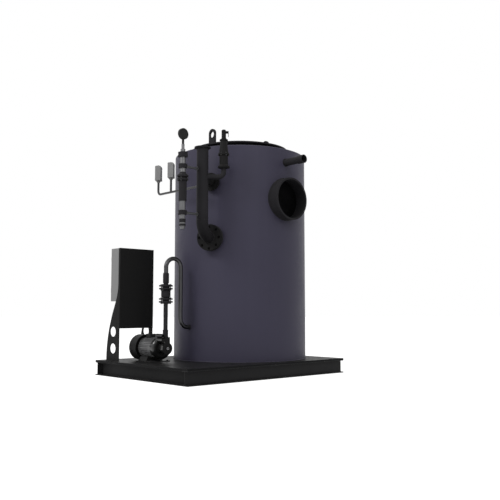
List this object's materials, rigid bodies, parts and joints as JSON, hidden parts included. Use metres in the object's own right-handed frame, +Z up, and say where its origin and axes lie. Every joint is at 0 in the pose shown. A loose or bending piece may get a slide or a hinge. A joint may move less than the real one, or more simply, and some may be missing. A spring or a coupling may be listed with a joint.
{
  "type": "industrial boiler",
  "caption": "Upright steel boiler on a flat skid, with a flue collar, riser pipe, safety valve, water column, control panel and a feed pump with its pipe loop.",
  "frame": {"origin": "the middle of the skid's footprint, on the ground", "axes": "+Z up, +X along the skid's long side and away from the control panel, -Y towards the side that the flue collar points to"},
  "size_m": [2.076, 1.696, 2.5766],
  "materials": {
    "jacket": "matt slate purple-grey paint",
    "black_paint": "matt black paint",
    "skid_paint": "satin black paint, worn at the edges",
    "vessel_steel": "sooty plain steel",
    "enclosure_paint": "light grey powder coat",
    "switch_case": "light grey moulded case",
    "bright_steel": "drawn tube",
    "pump_iron": "cast, painted dark grey",
    "motor_paint": "satin dark grey paint",
    "valve_iron": "cast, painted black",
    "gauge_black": "black case with a dark dial",
    "panel_paint": "matt black powder coat"
  },
  "bodies": {
    "root": {"check_valve": "valve_iron", "column_chamber": "valve_iron", "column_collars": "valve_iron", "column_drain": "bright_steel", "column_gauge": "gauge_black", "column_links": "bright_steel", "column_tubes": "bright_steel", "deck_plate": "skid_paint", "feed_coupling": "valve_iron", "feed_loop": "bright_steel", "feed_pipe": "bright_steel", "feed_union": "valve_iron", "flue_collar": "black_paint", "gauge_nipple": "bright_steel", "jacket_shell": "jacket", "jacket_top": "jacket", "lid_neck": "black_paint", "lid_plate": "black_paint", "lifting_lug_left": "black_paint", "lifting_lug_right": "black_paint", "lower_nozzle": "black_paint", "panel_enclosure": "enclosure_paint", "panel_leg_left": "panel_paint", "panel_leg_right": "panel_paint", "panel_plate": "panel_paint", "pressure_switch_far": "switch_case", "pressure_switch_near": "switch_case", "pump_adapter": "pump_iron", "pump_cowl": "motor_paint", "pump_foot": "pump_iron", "pump_head": "pump_iron", "pump_motor": "motor_paint", "pump_suction": "bright_steel", "pump_terminal_box": "motor_paint", "riser_flange": "black_paint", "riser_lip": "black_paint", "riser_pipe": "black_paint", "safety_branch": "black_paint", "safety_valve_body": "valve_iron", "safety_valve_bonnet": "valve_iron", "safety_valve_cap": "valve_iron", "safety_valve_lever": "valve_iron", "sensor_tube": "bright_steel", "skid_back_beam": "skid_paint", "skid_cross_beams": "skid_paint", "skid_front_beam": "skid_paint", "skid_left_beam": "skid_paint", "skid_right_beam": "skid_paint", "upper_nozzle": "black_paint", "vent_nozzle": "black_paint", "vent_socket": "black_paint", "vessel_head": "vessel_steel", "vessel_wall": "vessel_steel"}
  },
  "joints": []
}
